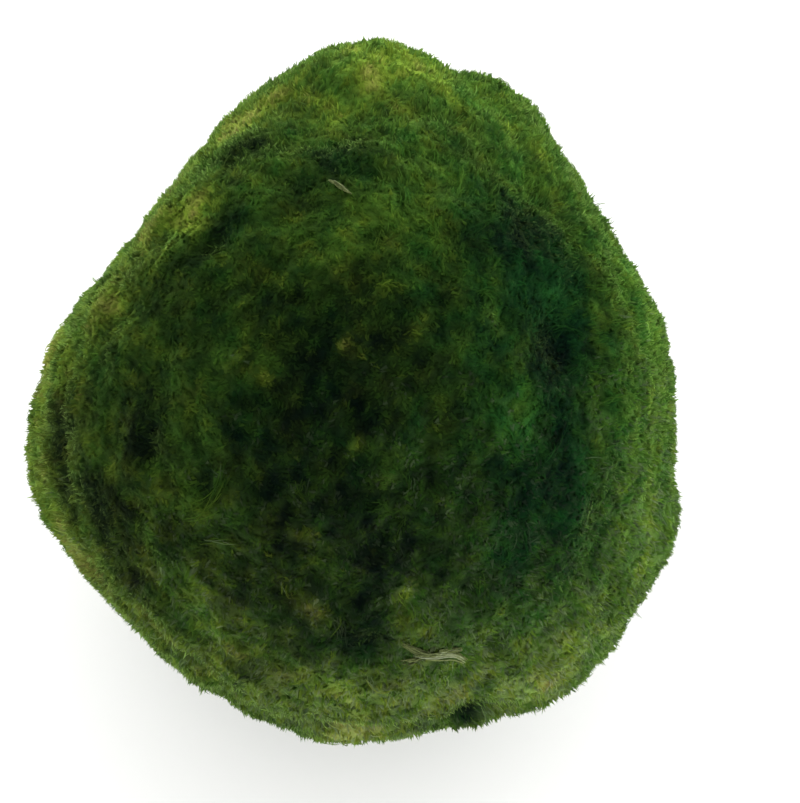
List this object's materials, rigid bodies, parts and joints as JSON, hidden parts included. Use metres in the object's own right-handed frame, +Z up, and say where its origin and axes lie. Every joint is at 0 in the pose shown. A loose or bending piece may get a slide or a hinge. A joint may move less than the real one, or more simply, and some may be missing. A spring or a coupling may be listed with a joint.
{
  "type": "marimo moss ball",
  "caption": "Lumpy rounded-triangular ball of felted green algae threads that rests on a small flat spot pressed into its underside.",
  "frame": {"origin": "on the ground, under the middle of the ball's bounding box", "axes": "+Z up out of the flat spot; +Y towards the narrow end of the rounded-triangular outline; +X to the right of it"},
  "size_m": [0.0434, 0.0454, 0.0397],
  "materials": {
    "moss": "damp felt of fine green threads, matt, darker between the tufts and yellow-green at their tips",
    "dry_fibre": "dry pale straw and root fibre, matt"
  },
  "bodies": {
    "root": {"moss_ball": "moss"}
  },
  "joints": []
}
